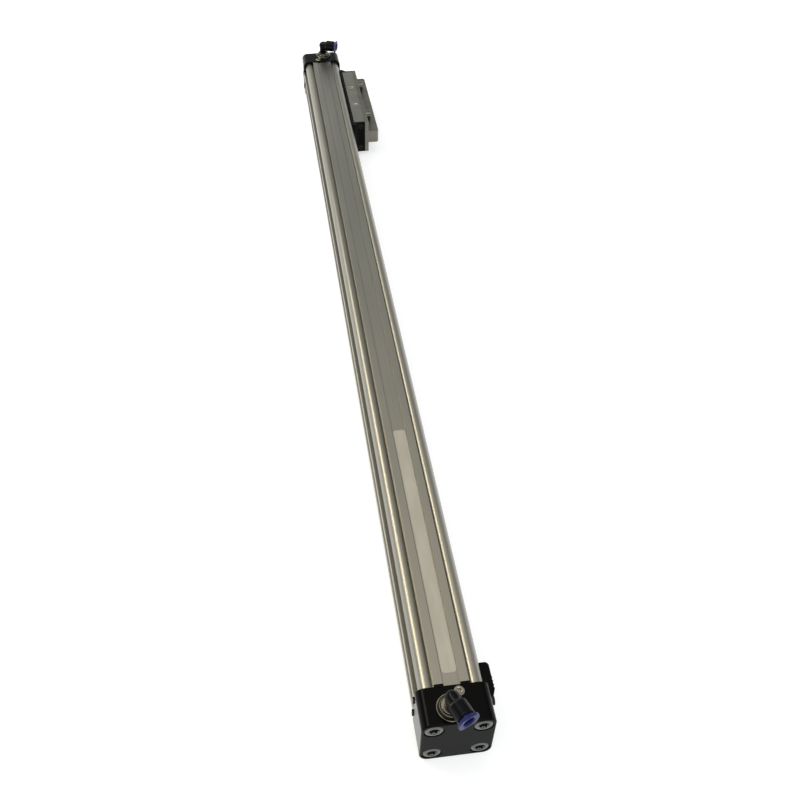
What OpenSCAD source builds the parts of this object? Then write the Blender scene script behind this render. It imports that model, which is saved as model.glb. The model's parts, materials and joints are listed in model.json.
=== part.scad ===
// Rodless pneumatic cylinder, 25 mm bore, 600 mm stroke.
// A slotted aluminium tube holds a double piston. The piston's yoke reaches out through the slot
// to a carriage, and two steel bands close the slot on the inside and on the outside.
//
// Frame: the tube's axis is Y, from the near end face (Y = 0) to the far one. The slot and the
// carriage are on the +X side, the air ports and the label face up (+Z).

/* [Stroke] */
// Travel of the carriage
stroke = 600; // [150:50:1500]
// Piston bore
bore_d = 25; // [24:0.1:25.4]
// Gap between piston and end cap at the end of the stroke
end_gap = 0.5; // [0.3:0.1:2]

/* [Tube profile] */
// Half width of the plain walls, at the floor of the grooves beside the rails
wall_half = 17; // [16.6:0.1:17.4]
// Radius of the four corner lobes
lobe_r = 4.8; // [4.4:0.1:5.2]
// Distance between the cap screws, both ways
bolt_pitch = 27; // [26:0.25:27.5]
// Core diameter of the channels for the cap screws
channel_d = 4.6; // [4.2:0.1:5]
// Distance of the rails' outer faces from the axis
rail_top = 20.5; // [19.8:0.1:22]
// Half width of the recess between two rails
rail_in = 4.8; // [3.5:0.1:6]
// Half width over two rails at their outer faces
rail_out = 10; // [9.4:0.1:10.4]
// Undercut of the rails' outer flanks
rail_undercut = 0.9; // [0.4:0.1:1.4]
// Depth of the recess between two rails
rail_recess = 1.1; // [0.5:0.1:2]

/* [Slot and bands] */
// Width of the slot
slot_w = 8.4; // [7.4:0.2:9]
// Width of the outer band
outer_band_w = 16.4; // [15.9:0.1:16.8]
// Thickness of the outer band
outer_band_t = 0.4; // [0.2:0.05:0.5]
// Depth of the outer band's seat below the guide face
band_seat_depth = 0.6; // [0.5:0.05:0.9]
// Width of the inner band
inner_band_w = 12.6; // [11.8:0.2:13]
// Thickness of the inner band
inner_band_t = 0.6; // [0.3:0.05:0.8]
// Distance of the inner band's inner face from the axis
inner_band_x = 10.9; // [10.7:0.05:11.1]
// Width of each magnetic strip beside the slot
strip_w = 2.4; // [1.6:0.1:2.6]
// Thickness of each magnetic strip
strip_t = 0.7; // [0.5:0.05:0.9]

/* [End caps] */
// Half width of an end cap
cap_half = 20.5; // [20:0.1:22]
// Length of an end cap
cap_len = 22; // [21:0.5:30]
// Radius of its long edges
cap_corner_r = 5.5; // [4:0.25:6.5]
// Chamfer round its outer face
cap_chamfer = 0.6; // [0.3:0.1:1.2]
// Length of the spigot that centres the cap in the bore
boss_len = 4; // [3:0.5:8]
// How far a cap's lugs reach over the rail ends
lug_len = 1; // [0.6:0.1:2]
// How far the lugs stand out past the rails
lug_proud = 0.8; // [0.2:0.1:1.2]
// Distance of the air port from the outer face
port_y = 8.8; // [8.4:0.1:9.6]
// Sideways offset of the air port
port_dx = 3.2; // [2.6:0.1:4.5]
// Outer diameter of the cushion tube
cushion_d = 12; // [10:0.5:12.5]
// How far the cushion tube reaches past the cap's spigot
cushion_reach = 17; // [10:0.5:17.5]

/* [Cap screws] */
// Diameter of the screw head's rim
rim_d = 10.6; // [9.6:0.2:11.4]
// How far the rim lies below the cap's outer face
rim_sink = 0.1; // [0.05:0.05:0.6]
// Thickness of the rim
rim_t = 0.8; // [0.6:0.1:1.6]
// Diameter of the head's barrel
sleeve_d = 8.4; // [7.6:0.2:8.8]
// Length of the head's barrel
sleeve_len = 12; // [10:0.5:14]
// Core diameter of the thread inside the head
head_thread_d = 4.2; // [3.3:0.1:4.6]
// Thread length that grips the tube
screw_grip = 16; // [8:1:30]

/* [Piston] */
// Half length of the double piston
piston_half = 73.5; // [71:0.5:80]
// Length of each piston head
head_len = 23.5; // [21.5:0.5:26]
// Radial gap between the piston heads and the bore
head_gap = 0.4; // [0.2:0.05:0.8]
// Radial gap between the rings and the bore
ring_gap = 0.05; // [0.02:0.01:0.1]

/* [Carriage] */
// Length of the carriage over its scrapers
carriage_len = 117; // [114:1:130]
// Width of the carriage
carriage_w = 33; // [32:0.5:38]
// Distance of the carriage's mounting face from the axis
carriage_top = 31.6; // [31:0.1:36]
// Gap between the tube's guide face and the aluminium block
block_gap = 2.6; // [2.4:0.1:3.4]
// Thickness of the scraper housings at the ends
scraper_t = 2.75; // [2.25:0.25:4]
// How far the scrapers' feet reach out past the carriage
foot_len = 4.3; // [3.6:0.1:5]
// Height of the band's hump above the guide face
hump = 5.3; // [5:0.1:5.8]

/* [Driver bar] */
// Thickness of the bar's base plate
plate_t = 3.9; // [3:0.1:6]
// Height of the rib above the base plate
rib_h = 10.2; // [8:0.2:20]
// Width of the rib
rib_w = 13; // [11:0.5:13.5]
// Distance between the bar's screws along the carriage
bar_pitch_y = 65; // [56:1:70]
// Distance between the bar's screws across the carriage
bar_pitch_z = 22; // [21.6:0.2:23]
// Distance between the tapped holes in the rib
tap_pitch = 80; // [20:5:100]
// Core diameter of the tapped holes in the rib
tap_d = 5; // [3.3:0.1:6.8]
// Depth of the tapped holes in the rib
tap_depth = 12; // [8:0.5:14]

/* [Fittings] */
// Outer diameter of the air tube that the fittings take
tube_d = 6; // [4:0.5:6.5]
// Diameter of the stud's flange
flange_d = 15.9; // [15:0.1:17]
// Diameter of the stud's thread
stud_thread_d = 9.7; // [9:0.1:10.2]
// Height of the elbow's tube axis above the cap
elbow_h = 12.3; // [11.8:0.1:20]
// Diameter of the elbow's leg
leg_d = 11; // [10.4:0.2:12]
// Diameter of the elbow's upright
upright_d = 7.4; // [7:0.1:8]
// Distance from the swivel axis to the thick part of the leg
barrel_from = 4.3; // [3.8:0.1:5]
// Distance from the swivel axis to the end of the leg
leg_len = 12.8; // [12.6:0.1:18]
// Direction of the near elbow, in degrees from +X
near_elbow_turn = -67; // [-180:1:180]
// Direction of the far elbow, in degrees from +X
far_elbow_turn = -22; // [-180:1:180]
// Travel of the release collar
collar_travel = 1.2; // [0.6:0.1:1.4]
// Width of the collar's oval flange
collar_w = 13; // [11.4:0.2:15]

/* [Near band cover] */
// Gap that the cover leaves to the carriage's feet at the end of the stroke
cover_gap = 0.4; // [0.3:0.1:8]
// Width of the cover
cover_w = 26; // [20:0.5:27]
// Height of the cover above the cap's side
cover_h = 3.5; // [2.5:0.1:5]

/* [Label] */
// Length of the plain label
label_len = 182; // [40:1:400]
// Width of the plain label
label_w = 8.3; // [4:0.1:8.8]
// Distance of the label's centre line from the tube's
label_x = 0.2; // [-0.3:0.1:0.3]

/* [Hidden] */
$fn = 64;
// General assembly clearance
clr = 0.1;
tiny = 0.02;

// Tube
bolt_at = bolt_pitch / 2;
guide_x = bolt_at + lobe_r;
seat_x = guide_x - band_seat_depth;
bore_r = bore_d / 2;
end_reach = cap_len + boss_len + end_gap + piston_half;
total_len = stroke + 2 * end_reach;
tube_end = total_len - cap_len;
carriage_y = total_len - end_reach;
cover_end = end_reach - carriage_len / 2 - foot_len - cover_gap;
rail_floor = rail_top - rail_recess;
lug_root = wall_half + 0.6;
strip_in = slot_w / 2 + 0.9;
rail_turns = [90, 180, 270];
inner_seat_w = inner_band_w + 0.2;
inner_seat_x = inner_band_x + inner_band_t + 0.05;
flat_x = inner_band_x - 0.1;

// Cap
pocket_half = outer_band_w / 2 + 0.85;
clamp_len = 14;
pocket_y = cap_len - clamp_len;
port_depth = 8;
tongue = 1;
clamp_t = cap_half - seat_x - outer_band_t - 0.1;
spigot_seat_y = cap_len - 8;
seal_r = bore_r + 1.7;
seal_wire = 0.9;
needle_r = 2.5;
needle_gap = 0.05;
needle_depth = cap_half - (seal_r + seal_wire + 0.4);
rim_gap = 0.3;
star_depth = 2.4;
needle_head_r = 2.95;
needle_y = port_y + sqrt(pow(flange_d / 2 + needle_head_r + 0.3, 2) - pow(2 * port_dx, 2));
clamp_screw_z = outer_band_w / 2 - 3;
clamp_screw_y = cap_len - 4.5;
clamp_screw_r = 1.5;

// Carriage
block_x = guide_x + block_gap;
flange_bottom = guide_x + 0.7;
flange_top = guide_x + hump - 1.6;
guide_top = guide_x + hump - 0.1;
hump_x = guide_x + hump;
tunnel_x = hump_x + outer_band_t + 0.5;
tunnel_half = outer_band_w / 2 + 0.6;
block_half = carriage_len / 2 - scraper_t;
core_half = piston_half - head_len;
core_r = bore_r - 0.6;
// The outer band rises over ramp_len, from just outside the block to just outside the yoke's flange
ramp_len = 16.6;
ramp_foot = block_half + 1.2;
ramp_top = ramp_foot - ramp_len;
flange_half = ramp_top - 2.35;
web_half = flange_half - 8;
flange_w = 28;
piston_screw_in = 12.5;
dip = 7.5;
ramp_run = 15;
shoe_in = outer_band_w / 2 + 1.2;
skirt_in = flange_w / 2 + 0.3;
half_w = carriage_w / 2;
plug_r = 3.3;
plug_dy = 19;
plug_x = block_x + 5.3;
carrier_screw_y = 8;
carrier_screw_z = 11.3;
foot_x = guide_x + 6;
bar_screw_in = 6;

// Fittings
tube_r = tube_d / 2;
flange_t = 1.6;
dish_t = 1;
step_z = [3, 4.4];
step_r = [6.3, 5.3];
neck_wall = 0.95;
neck_r = upright_d / 2 - neck_wall;
neck_top = 9.6;
thread_in = port_depth - 0.6;
skirt_z = step_z[1] + 0.3;
nose_r = upright_d / 2 + 0.4;
seal_groove = [5.4, 6.8];
air_r = neck_r - 1.15;
way_r = air_r - 0.1;
tube_stop = 2.5;
socket_s = 5.5;
socket_r = tube_r + 1.4;
seal_s = 6.2;
grip_s = 7.4;
collar_gap = 0.1;
collar_t = 1.5;
collar_h = leg_d - 1.2;
collar_face = leg_len + collar_travel + collar_gap;
collar_sleeve = 4.1;

// ---------------------------------------------------------------- helpers

// A flat outline in X and Z, pulled along Y from one place to another
module along_y(from, to) {
    translate([0, to, 0]) rotate([90, 0, 0]) linear_extrude(to - from) children();
}

// A flat outline in X and Y, given thickness along Z about the middle
module across_z(width) {
    translate([0, 0, -width / 2]) linear_extrude(width) children();
}

// A round bar along +Y
module rod_y(from, to, r) {
    translate([0, from, 0]) rotate([-90, 0, 0]) cylinder(r = r, h = to - from);
}

// A round bar along +X
module rod_x(from, to, r) {
    translate([from, 0, 0]) rotate([0, 90, 0]) cylinder(r = r, h = to - from);
}

// A flat ring along Y
module ring_y(from, to, r_in, r_out) {
    difference() {
        rod_y(from, to, r_out);
        rod_y(from - 1, to + 1, r_in);
    }
}

// Children at the four screw corners
module at_corners() {
    for (sx = [-1, 1], sz = [-1, 1]) translate([sx * bolt_at, 0, sz * bolt_at]) children();
}

// Children on the three sides that carry rails, drawn as for the +X side: up, -X and down
module at_rail_sides() {
    for (a = rail_turns) rotate([0, -a, 0]) children();
}

// Children at the far end, turned end for end
module at_far_end() {
    translate([0, total_len, 0]) mirror([0, 1, 0]) children();
}

// Children at both ends of the carriage, drawn for its far end
module at_carriage_ends() {
    translate([0, carriage_y, 0]) {
        children();
        mirror([0, 1, 0]) children();
    }
}

// Trims whatever lies past the flat that the inner band closes
module below_inner_band() {
    intersection() {
        children();
        translate([-bore_d, -total_len, -bore_d]) cube([bore_d + flat_x, 3 * total_len, 2 * bore_d]);
    }
}

// ---------------------------------------------------------------- tube

module rail_pair() {
    polygon([
        [wall_half - 1, rail_undercut - rail_out], [wall_half, rail_undercut - rail_out],
        [rail_top, -rail_out], [rail_top, -rail_in],
        [rail_floor, -rail_in], [rail_floor, rail_in],
        [rail_top, rail_in], [rail_top, rail_out],
        [wall_half, rail_out - rail_undercut], [wall_half - 1, rail_out - rail_undercut]
    ]);
}

module tube_section() {
    difference() {
        union() {
            square(2 * wall_half, center = true);
            for (sx = [-1, 1], sz = [-1, 1])
                translate([sx * bolt_at, sz * bolt_at]) circle(r = lobe_r);
            translate([0, -bolt_at]) square([guide_x, 2 * bolt_at]);
            for (a = [90, 180, 270]) rotate(a) rail_pair();
        }
        circle(d = bore_d);
        for (sx = [-1, 1], sz = [-1, 1])
            translate([sx * bolt_at, sz * bolt_at]) circle(d = channel_d);
        // slot, the seats of both bands and the grooves of the magnetic strips
        translate([0, -slot_w / 2]) square([rail_top, slot_w]);
        translate([0, -inner_seat_w / 2]) square([inner_seat_x, inner_seat_w]);
        translate([seat_x, -outer_band_w / 2 - clr]) square([rail_top, outer_band_w + 2 * clr]);
        for (s = [-1, 1])
            translate([seat_x - strip_t - tiny, s * (strip_in + strip_w / 2) - strip_w / 2 - tiny])
                square([rail_top, strip_w + 2 * tiny]);
    }
}

// Notches in the rail ends, where the caps' lugs sit
module rail_end_notches() {
    at_rail_sides() for (s = [-1, 1])
        translate([lug_root - clr, cap_len - 1, s * (rail_in + rail_out) / 2])
            translate([0, 0, -(rail_out - rail_in) / 2 - clr])
                cube([rail_top, lug_len + 1 + clr, rail_out - rail_in + 2 * clr]);
}

module barrel() {
    color([0.66, 0.66, 0.63]) difference() {
        along_y(cap_len, tube_end) tube_section();
        rail_end_notches();
        at_far_end() rail_end_notches();
    }
}

module outer_band() {
    y0 = pocket_y + 0.4;
    y1 = total_len - y0;
    path = [[seat_x, y0], [seat_x, carriage_y - ramp_foot], [hump_x, carriage_y - ramp_top],
            [hump_x, carriage_y + ramp_top], [seat_x, carriage_y + ramp_foot], [seat_x, y1]];
    n = len(path) - 1;
    color([0.72, 0.72, 0.7]) across_z(outer_band_w)
        polygon(concat(path, [for (i = [n:-1:0]) path[i] + [outer_band_t, 0]]));
}

module inner_band() {
    y0 = cap_len - 5;
    y1 = total_len - y0;
    low = inner_band_x - dip;
    half = web_half + 1.5;
    foot = half + ramp_run;
    path = [[inner_band_x, y0], [inner_band_x, carriage_y - foot], [low, carriage_y - half],
            [low, carriage_y + half], [inner_band_x, carriage_y + foot], [inner_band_x, y1]];
    n = len(path) - 1;
    color([0.7, 0.7, 0.68]) across_z(inner_band_w)
        polygon(concat(path, [for (i = [n:-1:0]) path[i] + [inner_band_t, 0]]));
}

module band_magnets() {
    color([0.16, 0.15, 0.14]) for (s = [-1, 1])
        translate([seat_x - strip_t, cap_len + clr, s * (strip_in + strip_w / 2) - strip_w / 2])
            cube([strip_t - tiny, tube_end - cap_len - 2 * clr, strip_w]);
}

module label() {
    r = 2;
    y0 = cap_len + 7.5;
    color([0.8, 0.79, 0.74]) translate([label_x, y0, rail_floor])
        linear_extrude(0.12) {
            translate([-label_w / 2, r]) square([label_w, label_len - 2 * r]);
            translate([r - label_w / 2, 0]) square([label_w - 2 * r, label_len]);
            for (sx = [-1, 1], y = [r, label_len - r])
                translate([sx * (label_w / 2 - r), y]) circle(r = r);
        }
}

// ---------------------------------------------------------------- end caps

module cap_block() {
    h = cap_half;
    r = cap_corner_r;
    c = cap_chamfer;
    for (sx = [-1, 1], sz = [-1, 1]) translate([sx * (h - r), 0, sz * (h - r)]) {
        rotate([-90, 0, 0]) cylinder(r1 = r - c, r2 = r, h = c);
        rod_y(c, cap_len, r);
    }
    for (a = [0, 90]) rotate([0, a, 0]) across_z(2 * (h - r))
        polygon([[-h, c], [c - h, 0], [h - c, 0], [h, c], [h, cap_len], [-h, cap_len]]);
}

// Lugs that reach over the rail ends, flush on the underside, which the cylinder rests on
module cap_lugs() {
    for (a = rail_turns, s = [-1, 1]) rotate([0, -a, 0])
        translate([lug_root, cap_len - 1, s * (rail_in + rail_out) / 2 - (rail_out - rail_in) / 2])
            cube([(a == 270 ? cap_half : rail_top + lug_proud) - lug_root, lug_len + 1,
                  rail_out - rail_in]);
}

// Stepped hole of one cap screw
module cap_screw_hole() {
    rod_y(-1, rim_sink + rim_t + tiny, rim_d / 2 + rim_gap);
    rod_y(-1, sleeve_len + clr, sleeve_d / 2 + clr);
    rod_y(-1, cap_len + 1, channel_d / 2 + clr);
}

// Pocket for the band clamp, open towards the tube
module clamp_pocket() {
    translate([seat_x, pocket_y, -pocket_half]) cube([cap_half, cap_len, 2 * pocket_half]);
    translate([seat_x + outer_band_t + 0.25, pocket_y, -pocket_half - tongue])
        cube([1.2, cap_len, 2 * (pocket_half + tongue)]);
}

// side is +1 or -1: the port lies that way from the middle, the cushion screw the other way
module end_cap(side) {
    difference() {
        union() {
            cap_block();
            cap_lugs();
            below_inner_band() rod_y(cap_len - 1, cap_len + boss_len, bore_r - clr);
        }
        at_corners() cap_screw_hole();
        clamp_pocket();
        // pocket for the end of the inner band
        translate([flat_x, cap_len - 5.4, -inner_band_w / 2 - clr])
            cube([inner_band_t + 0.2, cap_len, inner_band_w + 2 * clr]);
        // groove of the face seal
        ring_y(cap_len - 2 * seal_wire - tiny, cap_len + 1, seal_r - seal_wire - clr,
               seal_r + seal_wire + clr);
        // seat of the cushion tube and the air way behind it
        rod_y(spigot_seat_y, cap_len + boss_len + 1, cushion_d / 2 + tiny);
        rod_y(port_y, cap_len, 3);
        // air port
        translate([side * port_dx, port_y, cap_half - port_depth])
            cylinder(d = stud_thread_d + 2 * tiny, h = port_depth + 1);
        translate([side * port_dx, port_y, 0]) cylinder(r = 2.4, h = cap_half);
        // cushion screw, its seat and the bypass to the cylinder space
        translate([-side * port_dx, needle_y, cap_half - needle_depth])
            cylinder(r = needle_r + needle_gap, h = needle_depth + 1);
        translate([-side * port_dx, needle_y, cushion_d / 2 + 1.6])
            cylinder(r = 1, h = cap_half - cushion_d / 2 - 1.6);
        translate([-side * port_dx, 0, cushion_d / 2 + 2.4]) rod_y(needle_y, cap_len + boss_len + 1, 0.8);
    }
}

module near_end_cap() color([0.09, 0.09, 0.095]) end_cap(-1);

module far_end_cap() color([0.09, 0.09, 0.095]) at_far_end() end_cap(1);

// Six-lobed socket outline
module star() {
    circle(r = head_thread_d / 2 + 0.45);
    for (a = [0:60:300]) rotate(a) translate([head_thread_d / 2 + 0.35, 0]) circle(r = 0.6);
}

module cap_screw() {
    difference() {
        union() {
            translate([0, rim_sink, 0]) rotate([-90, 0, 0])
                cylinder(r1 = rim_d / 2 - 0.6, r2 = rim_d / 2, h = 0.5);
            rod_y(rim_sink + 0.5, rim_sink + rim_t, rim_d / 2);
            rod_y(rim_sink + 0.5, sleeve_len, sleeve_d / 2);
            rod_y(rim_sink + 0.5, cap_len + screw_grip, channel_d / 2 - tiny);
        }
        along_y(-1, star_depth) star();
        rod_y(-1, sleeve_len - 1, head_thread_d / 2);
    }
}

module cap_screws() color([0.78, 0.78, 0.77]) at_corners() cap_screw();

module near_cap_screws() cap_screws();

module far_cap_screws() at_far_end() cap_screws();

module cap_seal() {
    color([0.05, 0.05, 0.05]) translate([0, cap_len - seal_wire, 0]) rotate([-90, 0, 0])
        rotate_extrude() translate([seal_r, 0]) circle(r = seal_wire, $fn = 32);
}

module near_cap_seal() cap_seal();

module far_cap_seal() at_far_end() cap_seal();

module cushion_tube() {
    color([0.75, 0.62, 0.35])
        ring_y(spigot_seat_y, cap_len + boss_len + cushion_reach, 3, cushion_d / 2);
}

module near_cushion_tube() cushion_tube();

module far_cushion_tube() at_far_end() cushion_tube();

module band_clamp() {
    x0 = seat_x + outer_band_t + tiny;
    color([0.62, 0.62, 0.6]) difference() {
        union() {
            translate([x0, pocket_y + 0.2, clr - pocket_half])
                cube([clamp_t, cap_len - pocket_y - 0.3, 2 * (pocket_half - clr)]);
            translate([seat_x + outer_band_t + 0.35, pocket_y + 0.2, clr - pocket_half - tongue])
                cube([1, cap_len - pocket_y - 0.3, 2 * (pocket_half + tongue - clr)]);
        }
        for (s = [-1, 1]) translate([0, clamp_screw_y, s * clamp_screw_z])
            rod_x(x0 - 1, cap_half + 1, clamp_screw_r + tiny);
    }
}

module near_band_clamp() band_clamp();

module far_band_clamp() at_far_end() band_clamp();

// Cap screws of the near cover, which also draw the clamp down on the band
module near_clamp_screws() {
    head_x = cap_half + cover_h - 2.2;
    color([0.12, 0.12, 0.12]) for (s = [-1, 1]) translate([0, clamp_screw_y, s * clamp_screw_z])
        difference() {
            union() {
                rod_x(seat_x + outer_band_t + 2 * tiny, head_x + 1, clamp_screw_r);
                rod_x(head_x, head_x + 2, 2.7);
            }
            rod_x(head_x + 0.6, head_x + 3, 1.45, $fn = 6);
        }
}

// Set screws of the far clamp
module far_clamp_screws() {
    color([0.3, 0.3, 0.3]) at_far_end() for (s = [-1, 1])
        translate([0, clamp_screw_y, s * clamp_screw_z]) difference() {
            rod_x(seat_x + outer_band_t + 2 * tiny, cap_half - 0.3, clamp_screw_r);
            rod_x(cap_half - 1.3, cap_half, 0.85, $fn = 6);
        }
}

module near_band_cover() {
    x1 = cap_half + cover_h;
    y0 = cap_len - 7.7;
    y1 = cover_end;
    color([0.07, 0.07, 0.07]) difference() {
        union() {
            across_z(cover_w) polygon([
                [cap_half + tiny, y0], [cap_half + 0.7, y0], [x1 - 0.8, y0 + 3.6], [x1, y0 + 5.6],
                [x1, y1 - 2], [x1 - 0.6, y1 - 0.7], [x1 - 1.8, y1], [guide_x + tiny, y1],
                [guide_x + tiny, cap_len + lug_len + 0.4], [cap_half + tiny, cap_len + lug_len + 0.4]
            ]);
            // grip ribs
            for (i = [0:3]) translate([x1, y0 + 7 + 2.2 * i, 0])
                cylinder(r = 0.5, h = cover_w - 2, center = true);
        }
        for (s = [-1, 1]) translate([0, clamp_screw_y, s * clamp_screw_z]) {
            rod_x(cap_half - 1, x1 + 1, clamp_screw_r + clr);
            rod_x(cap_half + cover_h - 2.2, x1 + 1, 2.8);
        }
    }
}

// ---------------------------------------------------------------- cushion screws

module cushion_screw() {
    color([0.75, 0.75, 0.73]) difference() {
        union() {
            translate([0, 0, tiny]) cylinder(r = needle_head_r, h = 0.5);
            translate([0, 0, 0.5]) cylinder(r1 = needle_head_r, r2 = needle_head_r - 0.4, h = 0.4);
            translate([0, 0, -needle_depth + 0.6]) cylinder(r = needle_r, h = needle_depth);
            translate([0, 0, -needle_depth - 1.2]) cylinder(r1 = 0.3, r2 = 0.9, h = 1.9);
        }
        translate([0, 0, -0.8]) cylinder(r = 1.45, h = 3, $fn = 6);
    }
}

module near_cushion_screw() translate([port_dx, needle_y, cap_half]) cushion_screw();

module far_cushion_screw() translate([-port_dx, total_len - needle_y, cap_half]) cushion_screw();

// ---------------------------------------------------------------- fittings
// Drawn with the swivel axis on Z, the cap's face at Z = 0 and the leg along +X

// Half outline of the stud: thread, dished flange with a face seal's groove, two steps and neck
module stud_outline() {
    r = flange_d / 2;
    t = stud_thread_d / 2;
    polygon([
        [air_r, -thread_in], [t - 0.5, -thread_in], [t, 0.5 - thread_in], [t, tiny],
        [seal_groove[0], tiny], [seal_groove[0], 1], [seal_groove[1], 1], [seal_groove[1], tiny],
        [r - 0.2, tiny], [r, 0.25], [r, flange_t - 0.2], [r - 0.2, flange_t],
        [r - 0.6, flange_t], [r - 0.9, dish_t], [step_r[0], dish_t],
        [step_r[0], step_z[0] - 0.3], [step_r[0] - 0.3, step_z[0]], [step_r[1], step_z[0]],
        [step_r[1], step_z[1] - 0.2], [step_r[1] - 0.2, step_z[1]], [neck_r, step_z[1]],
        [neck_r, neck_top - 0.3], [neck_r - 0.3, neck_top], [air_r, neck_top]
    ]);
}

module fitting_stud() color([0.72, 0.69, 0.6]) rotate_extrude() stud_outline();

module fitting_seal() {
    color([0.05, 0.05, 0.05]) translate([0, 0, 0.5]) rotate_extrude()
        translate([(seal_groove[0] + seal_groove[1]) / 2, 0]) circle(r = 0.48, $fn = 32);
}

// Half outline of the leg: rounded nose over the upright, then the thick barrel that holds the tube
module leg_outline() {
    r = leg_d / 2;
    polygon(concat(
        [for (a = [0:15:90]) nose_r * [sin(a), -cos(a)]],
        [[nose_r + 0.2, barrel_from - 1], [r - 0.4, barrel_from], [r, barrel_from + 0.5],
         [r, leg_len - 0.3], [r - 0.3, leg_len], [0, leg_len]]
    ));
}

module on_leg() translate([0, 0, elbow_h]) rotate([0, 90, 0]) children();

module elbow() {
    color([0.06, 0.07, 0.08]) difference() {
        union() {
            on_leg() rotate_extrude() leg_outline();
            translate([0, 0, skirt_z]) cylinder(d = upright_d, h = elbow_h - skirt_z);
        }
        // the stud's neck, the air way and the tube socket
        translate([0, 0, skirt_z - 1]) cylinder(r = neck_r + 0.05, h = neck_top + 0.2 - skirt_z + 1);
        translate([0, 0, skirt_z]) cylinder(r = way_r, h = elbow_h - skirt_z);
        on_leg() translate([0, 0, -1.5]) cylinder(r = way_r, h = tube_stop + 2.5);
        on_leg() translate([0, 0, tube_stop]) cylinder(r = tube_r + clr, h = leg_len);
        on_leg() translate([0, 0, socket_s]) cylinder(r = socket_r, h = leg_len);
    }
}

module tube_seal() {
    wire = (socket_r - tube_r - 0.2) / 2;
    color([0.05, 0.05, 0.05]) on_leg() translate([0, 0, seal_s])
        rotate_extrude() translate([socket_r - wire - 0.05, 0]) circle(r = wire, $fn = 32);
}

// Steel ring with teeth that lean inwards and hold the tube
module tube_grip() {
    color([0.75, 0.75, 0.74]) on_leg() difference() {
        translate([0, 0, grip_s]) rotate_extrude() polygon([
            [tube_r + 0.2, 0], [tube_r + 0.55, 0], [socket_r - 0.45, 0.5], [socket_r - tiny, 0.5],
            [socket_r - tiny, 0.8], [socket_r - 0.5, 0.8], [tube_r + 0.2, 0.25]
        ]);
        for (a = [0:45:315]) rotate(a) translate([tube_r - 0.5, -0.25, grip_s - 1]) cube([1.3, 0.5, 3]);
    }
}

module release_collar() {
    color([0.18, 0.2, 0.62]) on_leg() difference() {
        union() {
            translate([0, 0, collar_face - collar_sleeve])
                cylinder(r = socket_r - 0.08, h = collar_sleeve + 0.5);
            // oval flange
            intersection() {
                translate([0, 0, collar_face]) cylinder(d = collar_w, h = collar_t);
                translate([-collar_h / 2, -collar_w, collar_face])
                    cube([collar_h, 2 * collar_w, collar_t]);
            }
        }
        cylinder(r = tube_r + 0.3, h = 2 * leg_len);
        translate([0, 0, collar_face + collar_t - 0.7])
            cylinder(r1 = tube_r + 0.3, r2 = tube_r + 1.3, h = 1);
    }
}

module at_near_port() translate([-port_dx, port_y, cap_half]) children();

module at_far_port() translate([port_dx, total_len - port_y, cap_half]) children();

module near_fitting_stud() at_near_port() fitting_stud();

module far_fitting_stud() at_far_port() fitting_stud();

module near_fitting_seal() at_near_port() fitting_seal();

module far_fitting_seal() at_far_port() fitting_seal();

module near_elbow() at_near_port() rotate(near_elbow_turn) elbow();

module far_elbow() at_far_port() rotate(far_elbow_turn) elbow();

module near_tube_seal() at_near_port() rotate(near_elbow_turn) tube_seal();

module far_tube_seal() at_far_port() rotate(far_elbow_turn) tube_seal();

module near_tube_grip() at_near_port() rotate(near_elbow_turn) tube_grip();

module far_tube_grip() at_far_port() rotate(far_elbow_turn) tube_grip();

module near_release_collar() at_near_port() rotate(near_elbow_turn) release_collar();

module far_release_collar() at_far_port() rotate(far_elbow_turn) release_collar();

// ---------------------------------------------------------------- piston

// Way of the inner band through the yoke
module band_way() {
    low = inner_band_x - dip;
    out = web_half + ramp_run + 1.9;
    across_z(inner_band_w + 0.8) polygon([
        [bore_r + 1, -core_half - 1], [inner_band_x - 0.5, -core_half - 1], [inner_band_x - 0.5, -out],
        [low - 0.5, -web_half - 1.2], [low - 0.5, web_half + 1.2], [inner_band_x - 0.5, out],
        [inner_band_x - 0.5, core_half + 1], [bore_r + 1, core_half + 1], [bore_r + 1, web_half],
        [low + inner_band_t + 0.4, web_half], [low + inner_band_t + 0.4, -web_half],
        [bore_r + 1, -web_half]
    ]);
}

module piston_yoke() {
    color([0.7, 0.7, 0.69]) translate([0, carriage_y, 0]) difference() {
        union() {
            difference() {
                intersection() {
                    rod_y(-core_half, core_half, core_r);
                    translate([-bore_d, -core_half, -bore_d])
                        cube([bore_d + inner_band_x - 0.5, 2 * core_half, 2 * bore_d]);
                }
                band_way();
            }
            translate([inner_band_x - 2.5, -web_half, 0.3 - slot_w / 2])
                cube([flange_bottom - inner_band_x + 3, 2 * web_half, slot_w - 0.6]);
            translate([flange_bottom, -flange_half, -flange_w / 2])
                cube([flange_top - flange_bottom, 2 * flange_half, flange_w]);
        }
        for (sy = [-1, 1]) {
            // piston screws
            scale([1, sy, 1]) rod_y(core_half - piston_screw_in - 0.5, core_half + 1, head_screw_r + tiny);
            for (sz = [-1, 1])
                translate([0, sy * carrier_screw_y, sz * carrier_screw_z])
                    rod_x(flange_bottom - 1, flange_top + 1, 2 + tiny);
        }
    }
}

// Grooves of a head, counted from the end of the piston
seal_at = 5.6;
seal_w = 3;
wear_at = 12;
wear_w = 4.6;
magnet_at = 18;
magnet_w = 3.6;
lip_at = 1.6;
lip_w = 2.4;
seal_sink = 2.9;
wear_sink = 1.5;
magnet_sink = 3;
lip_sink = 2.2;
// What the pocket over the cushion tube goes deeper than the tube reaches in
pocket_spare = 2.2;
// Countersunk screws that hold the heads to the yoke
head_screw_r = 2.5;
head_screw_top_r = 4.4;
head_screw_cone = 2.1;
head_screw_key = 1.7;
head_screw_key_depth = 1.6;
head_screw_gap = 0.2;

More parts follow.
